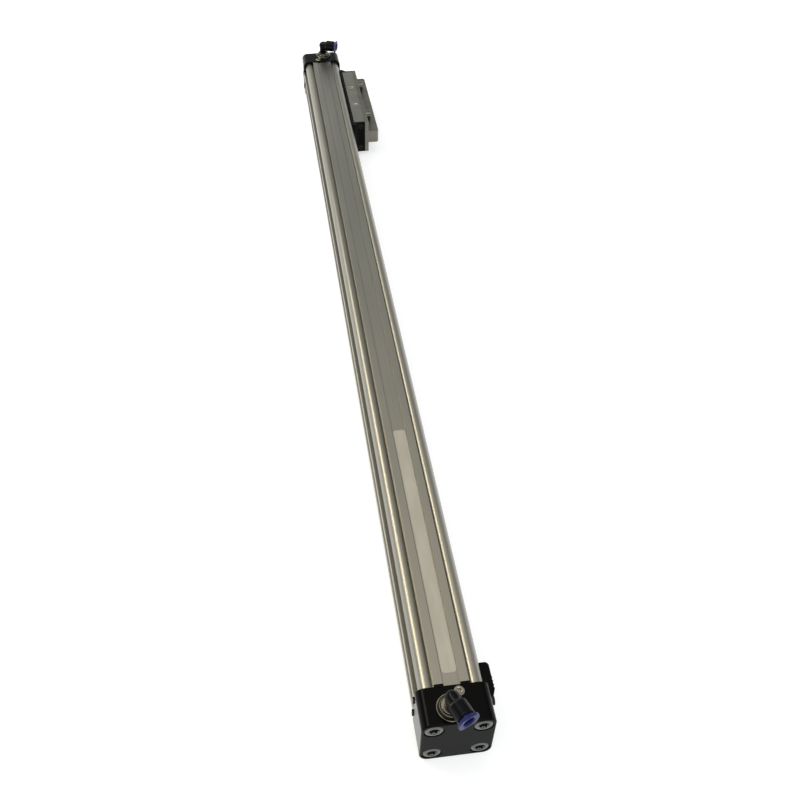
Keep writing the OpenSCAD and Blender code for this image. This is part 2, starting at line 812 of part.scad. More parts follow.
module piston_head() {
    y1 = piston_half;
    y0 = piston_half - head_len;
    pocket = cushion_reach + pocket_spare;
    difference() {
        below_inner_band() difference() {
            rod_y(y0, y1, bore_r - head_gap);
            ring_y(y1 - seal_at - seal_w, y1 - seal_at, bore_r - seal_sink, bore_r + 1);
            ring_y(y1 - wear_at - wear_w, y1 - wear_at, bore_r - wear_sink, bore_r + 1);
            ring_y(y1 - magnet_at - magnet_w, y1 - magnet_at, bore_r - magnet_sink, bore_r + 1);
        }
        rod_y(y1 - pocket, y1 + 1, cushion_d / 2 + 0.6);
        rod_y(y1 - lip_at - lip_w, y1 - lip_at, cushion_d / 2 + lip_sink);
        rod_y(y0 - 1, y1, head_screw_r + clr);
        translate([0, y1 - pocket - head_screw_cone - head_screw_gap, 0]) rotate([-90, 0, 0])
            cylinder(r1 = head_screw_r + 0.1, r2 = head_screw_top_r + 0.4, h = head_screw_cone + 0.3);
    }
}

module far_piston_head() color([0.14, 0.14, 0.15]) translate([0, carriage_y, 0]) piston_head();

module near_piston_head() {
    color([0.14, 0.14, 0.15]) translate([0, carriage_y, 0]) mirror([0, 1, 0]) piston_head();
}

module piston_seals() {
    color([0.05, 0.05, 0.05]) at_carriage_ends() below_inner_band()
        ring_y(piston_half - seal_at - seal_w + clr, piston_half - seal_at - clr,
               bore_r - seal_sink + tiny, bore_r - ring_gap);
}

module wear_rings() {
    color([0.85, 0.85, 0.8]) at_carriage_ends() below_inner_band()
        ring_y(piston_half - wear_at - wear_w + clr, piston_half - wear_at - clr,
               bore_r - wear_sink + tiny, bore_r - ring_gap);
}

module piston_magnets() {
    color([0.2, 0.2, 0.2]) at_carriage_ends() below_inner_band()
        ring_y(piston_half - magnet_at - magnet_w + clr, piston_half - magnet_at - clr,
               bore_r - magnet_sink + tiny, bore_r - head_gap - clr);
}

module cushion_seals() {
    color([0.05, 0.05, 0.05]) at_carriage_ends()
        ring_y(piston_half - lip_at - lip_w + clr, piston_half - lip_at - clr,
               cushion_d / 2 + ring_gap, cushion_d / 2 + lip_sink - tiny);
}

module piston_screws() {
    seat = piston_half - cushion_reach - pocket_spare;
    cone_y = seat - head_screw_cone - 0.75 * head_screw_gap;
    color([0.3, 0.3, 0.3]) at_carriage_ends() difference() {
        union() {
            rod_y(core_half - piston_screw_in, seat - head_screw_gap, head_screw_r);
            translate([0, cone_y, 0]) rotate([-90, 0, 0])
                cylinder(r1 = head_screw_r, r2 = head_screw_top_r, h = head_screw_cone);
        }
        rod_y(seat - head_screw_key_depth, seat + 1, head_screw_key, $fn = 6);
    }
}

// ---------------------------------------------------------------- carriage

module carrier_block() {
    color([0.62, 0.63, 0.6]) translate([0, carriage_y, 0]) difference() {
        translate([block_x, -block_half, -half_w])
            cube([carriage_top - block_x, 2 * block_half, carriage_w]);
        // seat of the yoke's flange and tunnel of the outer band
        translate([block_x - 1, -flange_half - clr, -flange_w / 2 - clr])
            cube([flange_top + 1 - block_x, 2 * (flange_half + clr), flange_w + 2 * clr]);
        translate([block_x - 1, -block_half - 1, -tunnel_half])
            cube([tunnel_x - block_x + 1, 2 * block_half + 2, 2 * tunnel_half]);
        for (sy = [-1, 1], sz = [-1, 1]) {
            translate([0, sy * carrier_screw_y, sz * carrier_screw_z]) {
                rod_x(flange_top - 1, carriage_top + 1, 2 + clr);
                rod_x(carriage_top - 4.4, carriage_top + 1, 3.6);
            }
            translate([0, sy * bar_pitch_y / 2, sz * bar_pitch_z / 2])
                rod_x(carriage_top - bar_screw_in - 0.2, carriage_top + 1, 2.5 + tiny);
            translate([plug_x, sy * plug_dy, sz * (half_w - 1.4)])
                cylinder(r = plug_r + tiny, h = 3, center = true);
            translate([carriage_top - 4.6, sy * (block_half - 6), sz * (half_w - 4.4)])
                scale([1, sy, 1]) rod_y(0, 7, 1.5 + tiny);
        }
    }
}

module carrier_screws() {
    color([0.2, 0.2, 0.2]) translate([0, carriage_y, 0]) for (sy = [-1, 1], sz = [-1, 1])
        translate([0, sy * carrier_screw_y, sz * carrier_screw_z]) difference() {
            union() {
                rod_x(flange_bottom + 0.2, carriage_top - 2, 2);
                rod_x(carriage_top - 4.4, carriage_top - 0.4, 3.5);
            }
            rod_x(carriage_top - 2.4, carriage_top, 1.7, $fn = 6);
        }
}

// Plugs that close the cross holes in both flanks
module side_plugs() {
    color([0.66, 0.66, 0.63]) translate([0, carriage_y, 0]) for (sy = [-1, 1], sz = [-1, 1])
        translate([plug_x, sy * plug_dy, 0]) scale([1, 1, sz]) difference() {
            translate([0, 0, half_w - 2.8]) cylinder(r = plug_r, h = 3);
            translate([0, 0, half_w - 0.1]) cylinder(r1 = 2, r2 = 2.4, h = 0.4);
        }
}

module scraper_housing() {
    y0 = block_half + tiny;
    y1 = carriage_len / 2;
    foot = y1 + foot_len;
    difference() {
        across_z(carriage_w - 0.2) polygon([
            [guide_x + 0.3, y0], [guide_x + 0.3, foot], [guide_x + 2.6, foot], [foot_x, y1 + 0.8],
            [foot_x + 0.8, y1], [carriage_top - tiny, y1], [carriage_top - tiny, y0]
        ]);
        // way for the rising band, and the wiper's slot
        translate([guide_x, y0 - 1, -tunnel_half]) cube([1.6, 3.2, 2 * tunnel_half]);
        translate([guide_x, y1 + 1, -outer_band_w / 2 - clr]) cube([2.7, 1.8, outer_band_w + 2 * clr]);
        for (s = [-1, 1]) translate([carriage_top - 4.6, 0, s * (half_w - 4.4)]) {
            rod_y(y0 - 1, y1 + 1, 1.6);
            rod_y(y1 - 1.6, y1 + 1, 2.9);
        }
    }
}

module far_scraper_housing() {
    color([0.05, 0.05, 0.05]) translate([0, carriage_y, 0]) scraper_housing();
}

module near_scraper_housing() {
    color([0.05, 0.05, 0.05]) translate([0, carriage_y, 0]) mirror([0, 1, 0]) scraper_housing();
}

module scraper_screws() {
    y1 = carriage_len / 2;
    color([0.08, 0.08, 0.08]) at_carriage_ends() for (s = [-1, 1])
        translate([carriage_top - 4.6, 0, s * (half_w - 4.4)]) difference() {
            union() {
                rod_y(block_half - 5.5, y1 - 1, 1.5);
                rod_y(y1 - 1.6, y1 - 0.2, 2.8);
            }
            rod_y(y1 - 1, y1 + 1, 1.2, $fn = 6);
        }
}

// Felt strips that wipe the outer band
module band_wipers() {
    color([0.3, 0.29, 0.26]) at_carriage_ends()
        translate([seat_x + outer_band_t + 0.05, carriage_len / 2 + 1.1, -outer_band_w / 2])
            cube([guide_x + 2.6 - seat_x - outer_band_t - 0.05, 1.6, outer_band_w]);
}

// Plastic shoes under both flanks, with a skirt along the yoke's flange
module slide_shoes() {
    x0 = guide_x + 0.06;
    color([0.05, 0.05, 0.05]) translate([0, carriage_y, 0]) for (s = [-1, 1]) scale([1, 1, s]) {
        translate([guide_x + 0.4, -block_half, skirt_in])
            cube([block_x - guide_x - 0.4 - tiny, 2 * block_half, half_w - 0.1 - skirt_in]);
        for (sy = [-1, 1]) scale([1, sy, 1]) translate([x0, flange_half + 0.4, shoe_in])
            cube([block_x - x0 - tiny, block_half - flange_half - 0.4, half_w - 0.1 - shoe_in]);
    }
}

// Ramp that lifts the outer band over the yoke, parallel to the band
module band_guide() {
    half = flange_half + 0.2;
    low = guide_x + 0.15;
    toe = ramp_top + (guide_top - low) * ramp_len / (hump_x - seat_x);
    color([0.08, 0.08, 0.08]) translate([0, carriage_y, 0]) across_z(outer_band_w - 0.2) polygon([
        [flange_top + tiny, -half], [low, -half], [low, -toe], [guide_top, -ramp_top],
        [guide_top, ramp_top], [low, toe], [low, half], [flange_top + tiny, half]
    ]);
}

module driver_bar() {
    y1 = carriage_len / 2;
    x1 = carriage_top + tiny;
    rib_x = x1 + plate_t;
    top = rib_x + rib_h;
    c = 1.6;
    color([0.58, 0.58, 0.55]) translate([0, carriage_y, 0]) difference() {
        union() {
            translate([x1, -y1, -half_w]) cube([plate_t, 2 * y1, carriage_w]);
            across_z(rib_w) polygon([
                [rib_x - 1, -y1], [top - c, -y1], [top, c - y1], [top, y1 - c], [top - c, y1],
                [rib_x - 1, y1]
            ]);
        }
        for (sy = [-1, 1]) {
            for (sz = [-1, 1]) translate([0, sy * bar_pitch_y / 2, sz * bar_pitch_z / 2])
                rod_x(x1 - 1, rib_x + 1, 2.75);
            translate([0, sy * tap_pitch / 2, 0]) rod_x(top - tap_depth, top + 1, tap_d / 2);
        }
    }
}

module driver_bar_screws() {
    x0 = carriage_top + plate_t + 2 * tiny;
    color([0.82, 0.82, 0.8]) translate([0, carriage_y, 0]) for (sy = [-1, 1], sz = [-1, 1])
        translate([0, sy * bar_pitch_y / 2, sz * bar_pitch_z / 2]) difference() {
            union() {
                rod_x(carriage_top - bar_screw_in, x0 + 1, 2.5);
                rod_x(x0, x0 + 5, 4.2);
            }
            rod_x(x0 + 2.2, x0 + 6, 2.3, $fn = 6);
        }
}

barrel();
near_end_cap();
far_end_cap();
near_cap_screws();
far_cap_screws();
near_cap_seal();
far_cap_seal();
near_cushion_tube();
far_cushion_tube();
outer_band();
inner_band();
band_magnets();
near_band_clamp();
far_band_clamp();
near_clamp_screws();
far_clamp_screws();
near_band_cover();
label();
near_fitting_stud();
far_fitting_stud();
near_fitting_seal();
far_fitting_seal();
piston_yoke();
near_piston_head();
far_piston_head();
piston_seals();
wear_rings();
cushion_seals();
piston_magnets();
piston_screws();
carrier_block();
carrier_screws();
near_scraper_housing();
far_scraper_housing();
scraper_screws();
band_wipers();
slide_shoes();
band_guide();
side_plugs();
driver_bar();
driver_bar_screws();
near_elbow();
near_tube_seal();
near_tube_grip();
near_release_collar();
far_elbow();
far_tube_seal();
far_tube_grip();
far_release_collar();
near_cushion_screw();
far_cushion_screw();
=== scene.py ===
# Rodless pneumatic cylinder: finishes and moulded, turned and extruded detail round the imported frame.
# Lengths are named in millimetres and turned to metres where a mesh or a setting is made.
import json
import math

import bmesh
import bpy
from mathutils import Euler, Matrix, Vector
from mathutils.bvhtree import BVHTree


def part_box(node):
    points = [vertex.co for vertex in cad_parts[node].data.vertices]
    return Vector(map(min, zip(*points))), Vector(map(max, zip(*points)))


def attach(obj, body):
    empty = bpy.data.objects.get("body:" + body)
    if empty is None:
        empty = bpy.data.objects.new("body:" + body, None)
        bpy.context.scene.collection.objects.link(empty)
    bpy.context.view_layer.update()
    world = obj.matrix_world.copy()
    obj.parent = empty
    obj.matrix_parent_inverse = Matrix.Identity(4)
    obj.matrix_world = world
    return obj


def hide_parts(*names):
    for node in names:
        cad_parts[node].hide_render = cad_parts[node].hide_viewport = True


MM = 0.001
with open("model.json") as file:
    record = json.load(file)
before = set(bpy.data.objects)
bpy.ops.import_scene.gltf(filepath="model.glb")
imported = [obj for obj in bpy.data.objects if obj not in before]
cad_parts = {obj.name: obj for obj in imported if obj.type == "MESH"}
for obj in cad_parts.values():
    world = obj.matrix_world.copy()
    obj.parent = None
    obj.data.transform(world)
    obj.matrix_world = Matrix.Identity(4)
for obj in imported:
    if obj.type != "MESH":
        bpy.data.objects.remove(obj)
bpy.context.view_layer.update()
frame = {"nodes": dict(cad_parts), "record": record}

# ---------------------------------------------------------------- sizes, in millimetres

# Bore of the tube, the cap screws' distance from its axis in X and in Z, and their holes
BORE_R = 12.5
BOLT_AT = 13.5
BOLT_HOLE_R = 2.3
# Round corners of the profile, and the flat walls between them
LOBE_R = 4.8
WALL_HALF = 17.0
# A pair of rails: top, floor of the recess between them, its half width, and their flanks
RAIL_TOP = 20.5
RAIL_FLOOR = 19.4
RAIL_IN = 4.8
RAIL_OUT = 10.0
RAIL_ROOT = 9.1
RAIL_BREAK = 0.25
CORNER_RELIEF = 0.35
# The slot, the inner band's seat, the guide face and the outer band's seat
SLOT_HALF = 4.2
INNER_SEAT_X = 11.55
INNER_SEAT_HALF = 6.4
GUIDE_X = 18.3
SEAT_X = 17.7
SEAT_HALF = 8.3
# Grooves of the magnetic strips
STRIP_FLOOR_X = 16.98
STRIP_IN = 5.08
STRIP_OUT = 7.52
# The outer band
BAND_T = 0.4
BAND_HALF = 8.2
# Radius on the long edges of the tube and of the band
TUBE_EDGE_R = 0.08
BAND_EDGE_R = 0.1

# ---------------------------------------------------------------- how finely shapes are made

# Points closer than this, in millimetres, are one: in the frame's solids, and in a grown mesh
TINY = 0.02
WELD = 0.0005
# Angles in degrees: faces that count as one, edges that get rounded, edges that shade smooth
FLAT_BELOW = 0.6
ROUNDED_ABOVE = 38
SMOOTH_BELOW = 32
TURNED_SMOOTH_BELOW = 30
# How far rounding may carry a point off its solid, as a share of the rounded edge
STRAY_SHARE = 0.6
# Sides or lobes of a screw's socket
SOCKET_LOBES = 6
# Straight steps in each round stretch
EDGE_STEPS = 2
FILLET_STEPS = 3
LOBE_STEPS = 24
CIRCLE_STEPS = 48
# Noise lies mostly between these values
NOISE_LOW = 0.3
NOISE_HIGH = 0.7

# ---------------------------------------------------------------- small helpers


def linear(code):
    """An sRGB hex code as the linear colour that shaders and lamps take."""
    parts = [int(code[i:i + 2], 16) / 255 for i in (1, 3, 5)]
    return [p / 12.92 if p <= 0.04045 else ((p + 0.055) / 1.055) ** 2.4 for p in parts] + [1.0]


def add(tree, kind, settings=None, inputs=None):
    """A new node with its settings, and a value or a link for each named input."""
    node = tree.nodes.new(kind)
    for name, value in (settings or {}).items():
        setattr(node, name, value)
    for name, value in (inputs or {}).items():
        if isinstance(value, bpy.types.NodeSocket):
            tree.links.new(value, node.inputs[name])
        else:
            node.inputs[name].default_value = value
    return node


def corners(node):
    """Lowest and highest corner of a node, in millimetres."""
    low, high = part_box(node)
    return low / MM, high / MM


# ---------------------------------------------------------------- finishes


def new_finish(name, colour, metallic, roughness, ior=None, specular=0.5):
    """A material with one shader, whose colour (an sRGB hex code) and roughness a pattern may vary."""
    material = bpy.data.materials.new(name)
    material.use_nodes = True
    tree = material.node_tree
    shader = tree.nodes["Principled BSDF"]
    shader.inputs["Base Color"].default_value = linear(colour)
    shader.inputs["Metallic"].default_value = metallic
    shader.inputs["Roughness"].default_value = roughness
    shader.inputs["Specular IOR Level"].default_value = specular
    if ior:
        shader.inputs["IOR"].default_value = ior
    return material, tree, shader


def marks(tree, size, detail=2.0):
    """Noise on Object coordinates; size is how long one mark is along X, Y and Z, in millimetres."""
    place = add(tree, "ShaderNodeTexCoord")
    scaled = add(tree, "ShaderNodeMapping", None,
                 {"Vector": place.outputs["Object"], "Scale": [1 / (s * MM) for s in size]})
    noise = add(tree, "ShaderNodeTexNoise", None,
                {"Vector": scaled.outputs["Vector"], "Scale": 1.0, "Detail": detail})
    return noise.outputs["Fac"]


def spread(tree, value, low, high):
    """Noise spread from low to high."""
    wide = add(tree, "ShaderNodeMapRange", None, {
        "Value": value, "From Min": NOISE_LOW, "From Max": NOISE_HIGH, "To Min": low, "To Max": high})
    return wide.outputs[0]


def tint(tree, shader, value, dark, light):
    """The base colour goes from dark to light with value."""
    # A mix of colours takes its share at socket 0 and the colours at 6 and 7, and gives the result at 2
    mix = add(tree, "ShaderNodeMix", {"data_type": "RGBA"}, {0: value, 6: linear(dark), 7: linear(light)})
    tree.links.new(mix.outputs[2], shader.inputs["Base Color"])


def relief(tree, shader, value, depth):
    """Bump of that depth in millimetres."""
    bump = add(tree, "ShaderNodeBump", None, {"Height": value, "Distance": depth * MM, "Strength": 1.0})
    tree.links.new(bump.outputs["Normal"], shader.inputs["Normal"])


def vary(tree, shader, value, low, high):
    """The roughness goes from low to high with the noise."""
    tree.links.new(spread(tree, value, low, high), shader.inputs["Roughness"])


def anodised_extrusion():
    """Clear anodised aluminium profile: die lines along it catch the light as fine streaks.

    Real die lines are finer than 0.5 mm, and are drawn that coarse so that they show.
    """
    material, tree, shader = new_finish("anodised_extrusion", "#9B9991", metallic=1.0, roughness=0.32)
    lines = marks(tree, (0.5, 4000.0, 0.5))
    cloud = marks(tree, (12.0, 90.0, 12.0), 3.0)
    tint(tree, shader, spread(tree, lines, 0.0, 1.0), "#93918A", "#A3A198")
    vary(tree, shader, cloud, 0.29, 0.36)
    relief(tree, shader, lines, 0.001)
    return material


def milled_aluminium(name, dark, light, roughness):
    """Milled and anodised aluminium: short tool marks across the length, soft sheen.

    Real tool marks are finer than 0.5 mm, and are drawn that coarse so that they show.
    """
    material, tree, shader = new_finish(name, light, metallic=1.0, roughness=roughness)
    tool = marks(tree, (0.5, 0.5, 9.0), 3.0)
    cloud = marks(tree, (14.0, 14.0, 14.0), 3.0)
    tint(tree, shader, spread(tree, cloud, 0.0, 1.0), dark, light)
    vary(tree, shader, tool, roughness - 0.06, roughness + 0.08)
    relief(tree, shader, tool, 0.008)
    return material


def black_coating():
    """Black coated casting: glossy flanks with faint orange peel, and a satin machined end face."""
    material, tree, shader = new_finish(
        "black_coating", "#060607", metallic=0.0, roughness=0.2, ior=1.5, specular=0.07)
    facing = add(tree, "ShaderNodeSeparateXYZ", None,
                 {"Vector": add(tree, "ShaderNodeTexCoord").outputs["Normal"]})
    along = add(tree, "ShaderNodeMath", {"operation": "ABSOLUTE"}, {0: facing.outputs["Y"]})
    # 1 on faces that look along the tube, 0 on the flanks, and between them on the rounded edge
    end_face = add(tree, "ShaderNodeMapRange", None,
                   {"Value": along.outputs[0], "From Min": 0.9, "From Max": 0.97}).outputs[0]
    tint(tree, shader, end_face, "#040405", "#0D0F0E")
    satin = add(tree, "ShaderNodeMapRange", None, {"Value": end_face, "To Min": 0.18, "To Max": 0.5})
    tree.links.new(satin.outputs[0], shader.inputs["Roughness"])
    relief(tree, shader, marks(tree, (0.7, 0.7, 0.7), 1.0), 0.006)
    return material


def turned_steel(name, dark, light, roughness):
    """Plated, oiled or bare turned metal: bright, with small cloudy changes in its surface."""
    material, tree, shader = new_finish(name, light, metallic=1.0, roughness=roughness)
    cloud = marks(tree, (4.0, 4.0, 4.0))
    tint(tree, shader, spread(tree, cloud, 0.0, 1.0), dark, light)
    vary(tree, shader, cloud, roughness - 0.04, roughness + 0.06)
    return material


def rolled_band():
    """Cold-rolled stainless strip: mirror-like with hair lines along it.

    Real hair lines are far finer than 0.4 mm, and are drawn that coarse so that they show.
    """
    material, tree, shader = new_finish("rolled_band", "#8F918F", metallic=1.0, roughness=0.26)
    lines = marks(tree, (0.4, 3000.0, 0.4), 3.0)
    tint(tree, shader, spread(tree, lines, 0.0, 1.0), "#868886", "#999B98")
    vary(tree, shader, lines, 0.2, 0.32)
    return material


def moulding(name, dark, light, roughness, grain=0.35, specular=0.5):
    """Moulded plastic: fine spark-eroded grain, slightly uneven gloss.

    Real grain is finer than grain, which is in millimetres and as coarse as it needs to show.
    """
    material, tree, shader = new_finish(
        name, light, metallic=0.0, roughness=roughness, ior=1.5, specular=specular)
    fine = marks(tree, (grain, grain, grain))
    cloud = marks(tree, (6.0, 6.0, 6.0))
    tint(tree, shader, spread(tree, cloud, 0.0, 1.0), dark, light)
    vary(tree, shader, cloud, roughness - 0.05, roughness + 0.07)
    relief(tree, shader, fine, 0.004)
    return material


def label_film():
    """Satin silver-grey film, left plain, slightly wavy where it was smoothed down by hand."""
    material, tree, shader = new_finish("label_film", "#AEABA1", metallic=0.3, roughness=0.4, ior=1.5)
    waves = marks(tree, (5.0, 25.0, 5.0))
    tint(tree, shader, spread(tree, waves, 0.0, 1.0), "#A8A59B", "#B3B0A7")
    relief(tree, shader, waves, 0.01)
    return material


def felt():
    """Dense oiled felt: fibres under a millimetre long and drawn coarser than real ones, no gloss."""
    material, tree, shader = new_finish("felt", "#4A4740", metallic=0.0, roughness=0.95, ior=1.5)
    fibres = marks(tree, (0.15, 0.6, 0.15), 4.0)
    tint(tree, shader, spread(tree, fibres, 0.0, 1.0), "#38352F", "#5C5950")
    relief(tree, shader, fibres, 0.05)
    return material


FINISHES = {
    "anodised_profile": anodised_extrusion(),
    "black_cap": black_coating(),
    "zinc_screw": turned_steel("zinc_plate", "#595C58", "#6E716C", 0.2),
    "black_screw": turned_steel("black_oxide", "#1C1C1D", "#2B2B2C", 0.38),
    "seal_rubber": moulding("nitrile_rubber", "#101010", "#191919", 0.6),
    "cushion_brass": turned_steel("turned_brass", "#A98A4E", "#C7A868", 0.25),
    "steel_band": rolled_band(),
    "magnet_strip": moulding("bonded_magnet", "#201F1D", "#2B2926", 0.7),
    "piston_magnet": moulding("bonded_magnet_ring", "#262626", "#303030", 0.6),
    "clamp_metal": milled_aluminium("die_cast_clamp", "#8C8D8A", "#A4A5A1", 0.4),
    "black_plastic": moulding("black_nylon", "#040404", "#080808", 0.42, specular=0.06),
    "label_film": label_film(),
    "nickel_brass": turned_steel("nickel_plate", "#817D71", "#9B988D", 0.19),
    "yoke_aluminium": milled_aluminium("bare_aluminium", "#B4B4B1", "#C9C9C6", 0.32),
    "piston_plastic": moulding("dark_acetal", "#1C1C1E", "#252527", 0.4),
    "wear_plastic": moulding("pale_bearing_plastic", "#DAD8CE", "#E6E4DB", 0.5),
    "carriage_aluminium": milled_aluminium("grey_anodised_block", "#7E7F78", "#8A8B84", 0.42),
    "plug_aluminium": milled_aluminium("plug_face", "#9C9D95", "#A9AAA2", 0.3),
    "bar_aluminium": milled_aluminium("sawn_bar", "#6C6B64", "#7E7D75", 0.44),
    "wiper_felt": felt(),
    "elbow_plastic": moulding("black_polyester", "#030507", "#060910", 0.24, grain=0.5, specular=0.12),
    "collar_plastic": moulding("blue_acetal", "#1B2058", "#252B69", 0.3, grain=0.5, specular=0.2),
    "grip_steel": turned_steel("spring_steel", "#B6B7B5", "#CFD0CE", 0.25),
}

SLOT_OF = {row["node"]: row["material_slot"] for row in frame["record"]["subparts"]}
BODIES = frame["record"]["behaviour"]["bodies"]
BODY_OF = {member: body for body, members in BODIES.items() for member in members}


def paint(piece, node):
    """Gives every face of the piece the finish of a node."""
    piece.data.materials.clear()
    piece.data.materials.append(FINISHES[SLOT_OF[node]])


def stand_in(piece, *nodes):
    """The piece moves with the nodes' body and is shown in their place, where the nodes are hidden."""
    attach(piece, BODY_OF[nodes[0]])
    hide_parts(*nodes)


for node_name, node_object in frame["nodes"].items():
    paint(node_object, node_name)

# ---------------------------------------------------------------- pieces made from the frame's solids


def placed(name, data):
    """A new object in the scene, at the origin."""
    piece = bpy.data.objects.new(name, data)
    bpy.context.scene.collection.objects.link(piece)
    return piece


def settled(piece):
    """The piece with its modifiers turned into a plain mesh."""
    graph = bpy.context.evaluated_depsgraph_get()
    data = bpy.data.meshes.new_from_object(piece.evaluated_get(graph))
    name = piece.name
    bpy.data.objects.remove(piece)
    return placed(name, data)


def shade(piece, angle=SMOOTH_BELOW):
    """Faces that meet under the angle shade as one, other edges stay crisp, and broad faces flat."""
    piece.data.shade_smooth()
    piece.data.set_sharp_from_angle(angle=math.radians(angle))
    flatten = piece.modifiers.new("flat broad faces", "WEIGHTED_NORMAL")
    flatten.keep_sharp = True
    flatten.weight = 100
    return settled(piece)


def seat_strays(piece, skin, reach):
    """Puts a point that rounding threw further off the solid's skin than reach back onto it."""
    for vertex in piece.data.vertices:
        nearest, _, _, gap = skin.find_nearest(vertex.co)
        if gap > reach:
            vertex.co = nearest


def softened(node, edge):
    """A copy of a node whose sharp edges are rounded as on the real piece; edge is in millimetres."""
    piece = placed(node + "_part", frame["nodes"][node].data.copy())
    shape = bmesh.new()
    shape.from_mesh(piece.data)
    bmesh.ops.remove_doubles(shape, verts=shape.verts, dist=TINY * MM)
    bmesh.ops.dissolve_degenerate(shape, dist=TINY * MM, edges=shape.edges)
    bmesh.ops.dissolve_limit(shape, angle_limit=math.radians(FLAT_BELOW),
                             verts=shape.verts, edges=shape.edges)
    skin = BVHTree.FromBMesh(shape)
    shape.to_mesh(piece.data)
    shape.free()
    bevel = piece.modifiers.new("rounded edges", "BEVEL")
    bevel.width = edge * MM
    bevel.segments = EDGE_STEPS
    bevel.limit_method = "ANGLE"
    bevel.angle_limit = math.radians(ROUNDED_ABOVE)
    bevel.use_clamp_overlap = False
    bevel.miter_outer = "MITER_ARC"
    piece = settled(piece)
    seat_strays(piece, skin, STRAY_SHARE * edge * MM)
    piece = shade(piece)
    paint(piece, node)
    stand_in(piece, node)


# Width of the rounded edge of each piece, in millimetres
SOFT_EDGES = {
    "near_end_cap": 0.3, "far_end_cap": 0.3, "near_band_cover": 0.2,
    "near_band_clamp": 0.15, "far_band_clamp": 0.15,
    "carrier_block": 0.25, "driver_bar": 0.3, "near_scraper_housing": 0.25, "far_scraper_housing": 0.25,
    "slide_shoes": 0.15, "side_plugs": 0.3,
    "near_elbow": 0.15, "far_elbow": 0.15, "near_release_collar": 0.3, "far_release_collar": 0.3,
    "label": 0.03,
}
for soft_node, soft_edge in SOFT_EDGES.items():
    softened(soft_node, soft_edge)

# ---------------------------------------------------------------- extruded tube


def arc(centre, radius, start, end, steps):
    """Points on an arc from start to end, in degrees."""
    turns = [math.radians(start + (end - start) * i / steps) for i in range(steps + 1)]
    return [(centre[0] + radius * math.cos(t), centre[1] + radius * math.sin(t)) for t in turns]


def circle(centre, radius):
    """Points on a whole circle, the first of them once."""
    return arc(centre, radius, 0, 360 - 360 / CIRCLE_STEPS, CIRCLE_STEPS - 1)


def rails(side):
    """Outline of the two rails on one side; side is the direction that they face, in degrees."""
    out, across = math.cos(math.radians(side)), math.sin(math.radians(side))
    lean = (RAIL_OUT - RAIL_ROOT) / (RAIL_TOP - WALL_HALF)
    relief_floor, relief_in = RAIL_FLOOR - CORNER_RELIEF, RAIL_IN - CORNER_RELIEF
    half = [(WALL_HALF, RAIL_ROOT), (RAIL_TOP - RAIL_BREAK, RAIL_OUT - lean * RAIL_BREAK),
            (RAIL_TOP, RAIL_OUT - RAIL_BREAK), (RAIL_TOP, RAIL_IN), (relief_floor, RAIL_IN),
            (relief_floor, relief_in), (RAIL_FLOOR, relief_in)]
    points = half + [(u, -v) for u, v in reversed(half)]
    return [(u * out + v * across, u * across - v * out) for u, v in points]


def slot_edge(sign):
    """One edge of the slot, from the bore to the guide face."""
    return [(x, sign * z) for x, z in [
        (INNER_SEAT_X, INNER_SEAT_HALF), (INNER_SEAT_X, SLOT_HALF), (SEAT_X, SLOT_HALF),
        (SEAT_X, STRIP_IN), (STRIP_FLOOR_X, STRIP_IN), (STRIP_FLOOR_X, STRIP_OUT),
        (SEAT_X, STRIP_OUT), (SEAT_X, SEAT_HALF), (GUIDE_X, SEAT_HALF)]]


def tube_outline():
    """The profile's outline in X and Z: slot, corner lobes, rails on three sides, and the bore."""
    # Angles where a lobe dips into the flat wall, and where the bore meets the inner band's seat
    dip = math.degrees(math.asin((WALL_HALF - BOLT_AT) / LOBE_R))
    flat = math.degrees(math.asin(INNER_SEAT_HALF / BORE_R))
    points = slot_edge(1)
    for i, (sx, sz) in enumerate([(1, 1), (-1, 1), (-1, -1), (1, -1)]):
        start = 0 if i == 0 else 90 * i - 90 + dip
        end = 360 if i == 3 else 90 * i + 180 - dip
        points += arc((sx * BOLT_AT, sz * BOLT_AT), LOBE_R, start, end, LOBE_STEPS)
        if i < 3:
            points += rails(90 * (i + 1))
    points += list(reversed(slot_edge(-1)))
    points += arc((0, 0), BORE_R, 360 - flat, flat, CIRCLE_STEPS)
    return points


def outline_object(name, loops, cyclic=True):
    """Flat curve in its own X and Y, in metres, one spline for each loop of points in millimetres."""
    curve = bpy.data.curves.new(name, "CURVE")
    curve.dimensions = "3D"
    for points in loops:
        spline = curve.splines.new("POLY")
        spline.points.add(len(points) - 1)
        for target, (x, y) in zip(spline.points, points):
            target.co = (x * MM, y * MM, 0, 1)
        spline.use_cyclic_u = cyclic
    return placed(name, curve)


def new_tree(name, inputs):
    """A geometry tree with named inputs and one geometry output."""
    tree = bpy.data.node_groups.new(name, "GeometryNodeTree")
    for label, kind in inputs:
        tree.interface.new_socket(label, in_out="INPUT", socket_type=kind)
    tree.interface.new_socket("Geometry", in_out="OUTPUT", socket_type="NodeSocketGeometry")
    return tree, add(tree, "NodeGroupInput").outputs


def end_tree(tree, geometry, material):
    """Makes the instances real, sets the material and ends the tree."""
    real = add(tree, "GeometryNodeRealizeInstances", None, {"Geometry": geometry})
    painted = add(tree, "GeometryNodeSetMaterial", None,
                  {"Geometry": real.outputs["Geometry"], "Material": material})
    add(tree, "NodeGroupOutput", None, {"Geometry": painted.outputs["Geometry"]})


